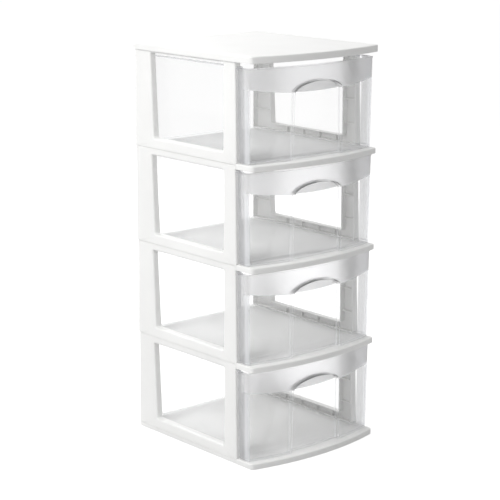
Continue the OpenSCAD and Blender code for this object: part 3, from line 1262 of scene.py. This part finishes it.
@dataclass
class Drawer:
    """A clear drawer: a full-width bowed nose, a narrower box, and a recess."""

    tower: TowerSizes
    tier: int
    body: str
    height: float = 0.1775
    wall: float = 0.0022
    slide_gap: float = 0.0003
    side_gap: float = 0.0013
    box_draft: float = 0.004
    nose_draft: float = 0.002
    lean: float = 0.0025
    nose_inset: float = 0.0005
    setback: float = 0.011
    stop_gap: float = 0.0004
    back_room: float = 0.007
    rim_out: float = 0.0012
    rim_height: float = 0.003
    box_radius: float = 0.008
    wing_radius: float = 0.004
    inner_radius: float = 0.002
    recess_width: float = 0.122
    recess_flare: float = 0.002
    recess_depth: float = 0.010
    recess_draft: float = 0.0015
    recess_spring: float = 0.123
    recess_rise: float = 0.022
    foot_round: float = 0.0025
    floor_heights: tuple[float, float, float] = (0.003, 0.0008, 0.0)
    floor_insets: tuple[float, float, float] = (0.0, 0.0006, 0.003)
    wall_start: float = 0.004
    wall_steps: int = 9
    arch_end: float = 84.0
    arch_steps: int = 22
    recess_steps: int = 16
    bow_steps: int = 34
    nose_steps: int = 12
    wing_steps: int = 7
    round_steps: int = 5
    box_steps: int = 9
    crown_gap: float = 0.0006
    rim_softness: float = 0.0006
    rim_shares: tuple[float, ...] = (0.0, 0.0, 0.8, 1.0, 1.0, 0.8, 0.4)
    mouth_drops: tuple[float, float, float] = (0.0, 0.0005, 0.002)
    sharp: float = 28.0
    bevel_width: float = 0.0011
    bevel_segments: int = 3
    bevel_angle: float = 40.0

    def outline(
        self, z: np.ndarray, inset: np.ndarray, cut: np.ndarray, depth: np.ndarray,
    ) -> np.ndarray:
        """Plan outlines of the drawer at heights over its bottom.

        Each runs along the recess's back and the bowed front, round the nose's
        corner, back along the nose and in behind it to the box, and round the
        box's back corner. Widths and the front lean in evenly to the bottom.

        Args:
            z: Heights over the drawer's bottom.
            inset: How far each outline is drawn in.
            cut: Half the recess's width at each height.
            depth: The recess's depth at each height.

        Returns:
            Rows by points by 2.
        """
        t = self.tower
        up = z / self.height
        rows = len(z)
        zero, right = np.zeros(rows), np.full(rows, math.pi / 2)
        half = t.width / 2 - self.nose_inset - self.rim_out - self.nose_draft * (1 - up)
        box = t.inner_x - self.side_gap - self.rim_out - self.box_draft * (1 - up)
        front = t.front_y + self.setback + self.lean * (1 - up)
        wing = t.post_y + t.front_draft * z / t.pitch - self.stop_gap - self.rim_out
        back = t.back_y - self.back_room - self.lean * (1 - up)
        bow = np.stack([zero, front + t.bow_radius], axis=-1)
        radius = t.bow_radius - inset
        reach = t.bow_radius - t.nose_radius
        turn = np.arcsin((half - t.nose_radius) / reach)
        nose = bow + np.stack([reach * np.sin(turn), -reach * np.cos(turn)], axis=-1)
        recess_turn = np.arcsin((cut - self.recess_draft) / radius)

        def turned(x: np.ndarray, y: np.ndarray, size: float) -> np.ndarray:
            """The centre of a round whose outer sides lie at x and y."""
            return np.stack([x - size, y - size], axis=-1)

        pieces = [
            arc(bow, radius - depth, zero, recess_turn, self.recess_steps),
            arc(bow, radius, np.arcsin(cut / radius), turn, self.bow_steps),
            arc(nose, t.nose_radius - inset, turn, right, self.nose_steps)[:, 1:],
            arc(turned(half, wing, self.wing_radius), self.wing_radius - inset,
                right, 2 * right, self.wing_steps),
            arc(turned(box, wing, -self.inner_radius), self.inner_radius + inset,
                zero, -right, self.round_steps),
            arc(turned(box, back, self.box_radius), self.box_radius - inset,
                right, 2 * right, self.box_steps),
            np.stack([zero, back - inset], axis=-1)[:, None, :],
        ]
        return mirrored(np.concatenate(pieces, axis=1))

    def arch(self, z: np.ndarray, inset: np.ndarray | float) -> np.ndarray:
        """Half the recess's width at heights over the drawer's bottom.

        It narrows evenly up to the spring, and over it follows an ellipse.

        Args:
            z: Heights.
            inset: The wall to allow for round the recess.

        Returns:
            Half widths.
        """
        below = self.recess_width / 2 + self.recess_flare * (1 - z / self.recess_spring) + inset
        part = np.clip((z - self.recess_spring) / (self.recess_rise + inset), 0.0, 1.0)
        above = (self.recess_width / 2 + inset) * np.sqrt(1 - part ** 2)
        return np.where(z <= self.recess_spring, below, above)

    @staticmethod
    def rings(heights: Any, insets: Any, cuts: Any, depth: float) -> np.ndarray:
        """Rings of the shell.

        Args:
            heights: Their heights over the drawer's bottom.
            insets: How far they are drawn in.
            cuts: Half the recess's width at each.
            depth: The recess's depth.

        Returns:
            Four rows: height, inset, cut and depth.
        """
        rows = (np.asarray(row, dtype=float) for row in (heights, insets, cuts, depth))
        return np.stack(np.broadcast_arrays(*rows))

    def wall_rings(self, inset: float) -> np.ndarray:
        """The rings up the front, first evenly and then with the arch's rise.

        Args:
            inset: How far they are drawn in.

        Returns:
            Four rows, as rings makes them.
        """
        straight = np.linspace(self.wall_start, self.recess_spring, self.wall_steps)[:-1]
        angle = np.radians(np.linspace(0, self.arch_end, self.arch_steps))
        arched = self.recess_spring + (self.recess_rise + inset) * np.sin(angle)
        heights = np.concatenate([straight, arched])
        return self.rings(heights, inset, self.arch(heights, inset), self.recess_depth)

    def shell(self, parts: MeshParts) -> None:
        """Add the drawer's closed shell.

        The rings run up the outside, over the rim and down the inside. Through
        the recess they close in along the arch, and over it the front is whole.

        Args:
            parts: The mesh to add to.
        """
        outer, inner = self.wall_rings(0.0), self.wall_rings(self.wall)
        angle = np.radians(np.linspace(0, 90, self.round_steps))[:-1]
        foot_z = self.foot_round * (1 - np.cos(angle))
        foot_inset = self.foot_round * (1 - np.sin(angle))
        foot = self.rings(foot_z, foot_inset, self.arch(foot_z, foot_inset), self.recess_depth)
        top, rim = self.height, self.height - self.rim_height
        soft = self.rim_softness
        crown, inner_crown = (wall[0, -1] + self.crown_gap for wall in (outer, inner))
        over_rim = self.rings(
            [crown, rim, rim + soft, rim + 2 * soft, top - soft, top - soft / 3, top],
            [-share * self.rim_out for share in self.rim_shares],
            outer[2, -1], 0.0,
        )
        mouth = self.rings(
            [*(top - drop for drop in self.mouth_drops), inner_crown],
            [self.wall - soft, self.wall, self.wall, self.wall],
            inner[2, -1], 0.0,
        )
        floor_inset = self.wall + np.array(self.floor_insets)
        floor_cut = self.arch(np.zeros(len(floor_inset)), floor_inset)
        floor = self.rings(
            self.wall + np.array(self.floor_heights), floor_inset, floor_cut, self.recess_depth,
        )
        runs = (foot, outer, over_rim, mouth, inner[:, ::-1], floor)
        z, inset, cut, depth = np.concatenate(runs, axis=1)
        base = self.tower.level(self.tier) + self.slide_gap
        parts.capped_grid(raised(self.outline(z, inset, cut, depth), base + z))

    def build(self, finish: ClearPlastic) -> bpy.types.Object:
        """Build and dress the drawer.

        Args:
            finish: Its finish.

        Returns:
            The piece.
        """
        parts = MeshParts()
        self.shell(parts)
        made = parts.moulding(
            f"drawer_{self.tier}", self.body, finish.material(self), self.sharp,
        )
        soften = made.modifiers.new("soft_edges", "BEVEL")
        soften.width = self.bevel_width
        soften.segments = self.bevel_segments
        soften.limit_method = "ANGLE"
        soften.angle_limit = math.radians(self.bevel_angle)
        soften.use_clamp_overlap = True
        return made


# -------------------------------------------------------------------- studio

@dataclass(frozen=True)
class Softbox:
    """A large square lamp."""

    name: str
    place: tuple[float, float, float]
    aim: tuple[float, float, float]
    size: float
    power: float

    def build(self) -> bpy.types.Object:
        """Build the lamp and turn it to its aim.

        Returns:
            The lamp's object.
        """
        lamp = bpy.data.lights.new(self.name, "AREA")
        lamp.size = self.size
        lamp.energy = self.power
        made = bpy.data.objects.new(self.name, lamp)
        made.location = self.place
        towards = Vector(self.aim) - Vector(self.place)
        made.rotation_euler = towards.to_track_quat("-Z", "Y").to_euler()
        bpy.context.scene.collection.objects.link(made)
        return made


@dataclass(frozen=True)
class OverheadLight:
    """A wide, even light from above."""

    strength: float = 0.15
    spread: float = 50.0
    height: float = 3.0

    def build(self) -> bpy.types.Object:
        """Build the lamp.

        Returns:
            The lamp's object.
        """
        lamp = bpy.data.lights.new("overhead_light", "SUN")
        lamp.energy = self.strength
        lamp.angle = math.radians(self.spread)
        made = bpy.data.objects.new("overhead_light", lamp)
        made.location = (0.0, 0.0, self.height)
        bpy.context.scene.collection.objects.link(made)
        return made


@dataclass(frozen=True)
class Studio:
    """A white studio with the camera where the photograph was taken."""

    azimuth: float = -41.014
    elevation: float = 13.128
    distance: float = 2.9977
    target: tuple[float, float, float] = (-0.1866, -0.1886, 0.4397)
    lens: float = 118.28
    sensor: float = 36.0
    farthest: float = 50.0
    ambient: float = 0.525
    floor_colour: tuple[float, float, float] = (0.55, 0.55, 0.55)
    floor_lift: float = 0.70
    floor_reach: float = 14.0
    floor_drop: float = 0.0002
    layers_seen_through: int = 32
    key: Softbox = Softbox("left_softbox", (-1.95, -0.25, 1.85), (0.0, 0.0, 0.4), 1.4, 33.0)
    rear: Softbox = Softbox("rear_softbox", (0.35, 2.5, 1.40), (0.0, 0.0, 0.4), 2.0, 53.0)
    overhead: OverheadLight = OverheadLight()

    def camera(self) -> bpy.types.Object:
        """Build the camera and make it the scene's.

        Returns:
            The camera's object.
        """
        turn, rise = math.radians(self.azimuth), math.radians(self.elevation)
        level = math.cos(rise)
        back = Vector((math.sin(turn) * level, -math.cos(turn) * level, math.sin(rise)))
        lens = bpy.data.cameras.new("camera")
        lens.lens = self.lens
        lens.sensor_width = self.sensor
        lens.clip_end = self.farthest
        made = bpy.data.objects.new("camera", lens)
        made.location = Vector(self.target) + back * self.distance
        made.rotation_euler = (-back).to_track_quat("-Z", "Y").to_euler()
        bpy.context.scene.collection.objects.link(made)
        bpy.context.scene.camera = made
        return made

    def world(self) -> None:
        """Light the studio evenly, and show white behind the object."""
        world = bpy.data.worlds.new("studio")
        world.use_nodes = True
        bpy.context.scene.world = world
        sheet = NodeSheet(world.node_tree)
        light = sheet.node("ShaderNodeBackground", inputs={
            "Color": (1.0, 1.0, 1.0, 1.0),
            "Strength": self.ambient + self.seen(sheet) * (1.0 - self.ambient),
        })
        sheet.show(light, "ShaderNodeOutputWorld")

    @staticmethod
    def seen(sheet: NodeSheet) -> Wire:
        """1 for rays from the camera, in mirrors and through clear plastic.

        Args:
            sheet: The nodes to add to.

        Returns:
            The mask.
        """
        camera, mirror, through = (
            sheet.node("ShaderNodeLightPath", output=f"Is {kind} Ray")
            for kind in ("Camera", "Glossy", "Transmission")
        )
        return (camera + mirror + through).at_most(1.0)

    def floor(self) -> bpy.types.Object:
        """Build the floor: white to the camera, with the object's shadow.

        Returns:
            The floor's object.
        """
        made = bpy.data.materials.new("studio_floor")
        made.use_nodes = True
        sheet = NodeSheet(made.node_tree)
        matt = sheet.node("ShaderNodeBsdfDiffuse", inputs={"Color": (*self.floor_colour, 1.0)})
        glow = sheet.node("ShaderNodeEmission", inputs={
            "Color": (1.0, 1.0, 1.0, 1.0), "Strength": self.seen(sheet) * self.floor_lift,
        })
        sheet.show(sheet.node("ShaderNodeAddShader", inputs={0: matt, 1: glow}))
        parts = MeshParts()
        square = self.floor_reach * np.array([[-1, -1], [1, -1], [1, 1], [-1, 1]])
        parts.add(np.column_stack([square, np.full(4, -self.floor_drop)]), [(0, 1, 2, 3)])
        floor = parts.piece("studio_floor", made)
        return floor

    def build(self) -> None:
        """Build the whole studio."""
        self.camera()
        self.world()
        self.floor()
        self.key.build()
        self.rear.build()
        self.overhead.build()
        bpy.context.scene.cycles.transparent_max_bounces = self.layers_seen_through
        bpy.context.scene.view_settings.view_transform = "Standard"


# ---------------------------------------------------------------------- main

def plates(tower: TowerSizes) -> list[BowedPlate]:
    """The base, the shelves and the top.

    Args:
        tower: The tower's sizes.

    Returns:
        The plates from the floor up.
    """
    base = BowedPlate(tower, PlateKind.BASE, "base", 1)
    tiers = range(2, tower.tiers + 1)
    shelves = [BowedPlate(tower, PlateKind.SHELF, f"shelf_{tier}", tier) for tier in tiers]
    return [base, *shelves, BowedPlate(tower, PlateKind.TOP, "top_panel", tower.tiers + 1)]


def main() -> None:
    """Build the tower in its studio and report each piece."""
    logging.basicConfig(level=logging.INFO, format="%(name)s: %(message)s")
    Studio().build()
    tower = TowerSizes()
    white = SatinWhite().material()
    clear = ClearPlastic()
    work: list[tuple[BowedPlate | SideFrame | Drawer, Any]] = []
    work += [(plate, white) for plate in plates(tower)]
    for tier in range(1, tower.tiers + 1):
        work += [(SideFrame(tower, side, tier), white) for side in Side]
    for tier, body in enumerate(DRAWER_BODIES, start=1):
        work.append((Drawer(tower, tier, body), clear))
    for part, finish in work:
        piece = part.build(finish)
        LOG.info("%s: %d faces", piece.name, len(piece.data.polygons))


if __name__ == "__main__":
    main()
